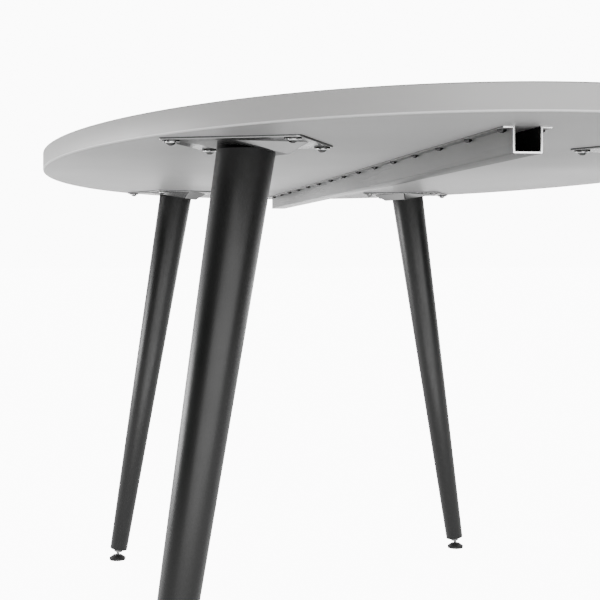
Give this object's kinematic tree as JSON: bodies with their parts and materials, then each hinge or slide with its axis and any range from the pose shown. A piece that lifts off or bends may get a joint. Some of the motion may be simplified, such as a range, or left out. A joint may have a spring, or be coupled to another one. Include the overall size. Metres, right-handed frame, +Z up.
{
  "type": "table",
  "caption": "Oval meeting table: banded laminate top, sheet-steel stiffener rail under it, and splayed tapered tube legs on pressed brackets with levelling feet.",
  "frame": {"origin": "on the floor under the middle of the top", "axes": "+X along the table's long axis, away from the end nearest the camera; +Y across it; +Z up"},
  "size_m": [1.8499, 0.9249, 0.75],
  "materials": {
    "board": "raw particle board",
    "laminate": "fine-grained white laminate",
    "laminate_underside": "fine-grained white laminate",
    "edge_band": "satin white edge band",
    "bare_steel": "satin grey sheet steel",
    "fasteners": "bright zinc plate",
    "inserts": "turned brass",
    "leg_coat": "black satin powder coat",
    "inner_steel": "plain machined steel",
    "black_plastic": "moulded black plastic",
    "stem_steel": "zinc-plated steel",
    "sole_rubber": "dark grey rubber"
  },
  "bodies": {
    "table": {"tabletop_core": "board", "upper_laminate": "laminate", "lower_laminate": "laminate_underside", "edge_band": "edge_band", "stiffener_rail": "bare_steel", "rail_screws": "fasteners", "bracket_screws": "fasteners", "bracket_washers": "fasteners", "board_inserts": "inserts", "leg_bracket_front_left": "bare_steel", "leg_tube_front_left": "leg_coat", "leg_top_disc_front_left": "inner_steel", "leg_stud_front_left": "inner_steel", "leg_nut_front_left": "inner_steel", "leg_plug_front_left": "black_plastic", "leg_bracket_front_right": "bare_steel", "leg_tube_front_right": "leg_coat", "leg_top_disc_front_right": "inner_steel", "leg_stud_front_right": "inner_steel", "leg_nut_front_right": "inner_steel", "leg_plug_front_right": "black_plastic", "leg_bracket_rear_left": "bare_steel", "leg_tube_rear_left": "leg_coat", "leg_top_disc_rear_left": "inner_steel", "leg_stud_rear_left": "inner_steel", "leg_nut_rear_left": "inner_steel", "leg_plug_rear_left": "black_plastic", "leg_bracket_rear_right": "bare_steel", "leg_tube_rear_right": "leg_coat", "leg_top_disc_rear_right": "inner_steel", "leg_stud_rear_right": "inner_steel", "leg_nut_rear_right": "inner_steel", "leg_plug_rear_right": "black_plastic"},
    "foot_front_left": {"foot_pad_front_left": "black_plastic", "foot_sole_front_left": "sole_rubber"},
    "stem_front_left": {"foot_stem_front_left": "stem_steel"},
    "foot_front_right": {"foot_pad_front_right": "black_plastic", "foot_sole_front_right": "sole_rubber"},
    "stem_front_right": {"foot_stem_front_right": "stem_steel"},
    "foot_rear_left": {"foot_pad_rear_left": "black_plastic", "foot_sole_rear_left": "sole_rubber"},
    "stem_rear_left": {"foot_stem_rear_left": "stem_steel"},
    "foot_rear_right": {"foot_pad_rear_right": "black_plastic", "foot_sole_rear_right": "sole_rubber"},
    "stem_rear_right": {"foot_stem_rear_right": "stem_steel"}
  },
  "joints": [
    {"name": "foot_travel_front_left", "type": "slide", "parent": "table", "child": "foot_front_left", "axis": [-0.0629, 0.1556, -0.9858], "range_m": [0, 0.012]},
    {"name": "stem_turn_front_left", "type": "hinge", "parent": "foot_front_left", "child": "stem_front_left", "pos_m": [-0.64232, 0.34439, 0.008], "axis": [-0.0629, 0.1556, -0.9858], "range_deg": [0, 3457]},
    {"name": "foot_travel_front_right", "type": "slide", "parent": "table", "child": "foot_front_right", "axis": [-0.0629, -0.1556, -0.9858], "range_m": [0, 0.012]},
    {"name": "stem_turn_front_right", "type": "hinge", "parent": "foot_front_right", "child": "stem_front_right", "pos_m": [-0.64232, -0.34439, 0.008], "axis": [-0.0629, -0.1556, -0.9858], "range_deg": [0, 3457]},
    {"name": "foot_travel_rear_left", "type": "slide", "parent": "table", "child": "foot_rear_left", "axis": [0.0629, 0.1556, -0.9858], "range_m": [0, 0.012]},
    {"name": "stem_turn_rear_left", "type": "hinge", "parent": "foot_rear_left", "child": "stem_rear_left", "pos_m": [0.64232, 0.34439, 0.008], "axis": [0.0629, 0.1556, -0.9858], "range_deg": [0, 3457]},
    {"name": "foot_travel_rear_right", "type": "slide", "parent": "table", "child": "foot_rear_right", "axis": [0.0629, -0.1556, -0.9858], "range_m": [0, 0.012]},
    {"name": "stem_turn_rear_right", "type": "hinge", "parent": "foot_rear_right", "child": "stem_rear_right", "pos_m": [0.64232, -0.34439, 0.008], "axis": [0.0629, -0.1556, -0.9858], "range_deg": [0, 3457]}
  ],
  "couplings": [
    {"joint": "stem_turn_front_left", "follows": "foot_travel_front_left", "rad_per_m": 5026.5},
    {"joint": "stem_turn_front_right", "follows": "foot_travel_front_right", "rad_per_m": 5026.5},
    {"joint": "stem_turn_rear_left", "follows": "foot_travel_rear_left", "rad_per_m": 5026.5},
    {"joint": "stem_turn_rear_right", "follows": "foot_travel_rear_right", "rad_per_m": 5026.5}
  ]
}
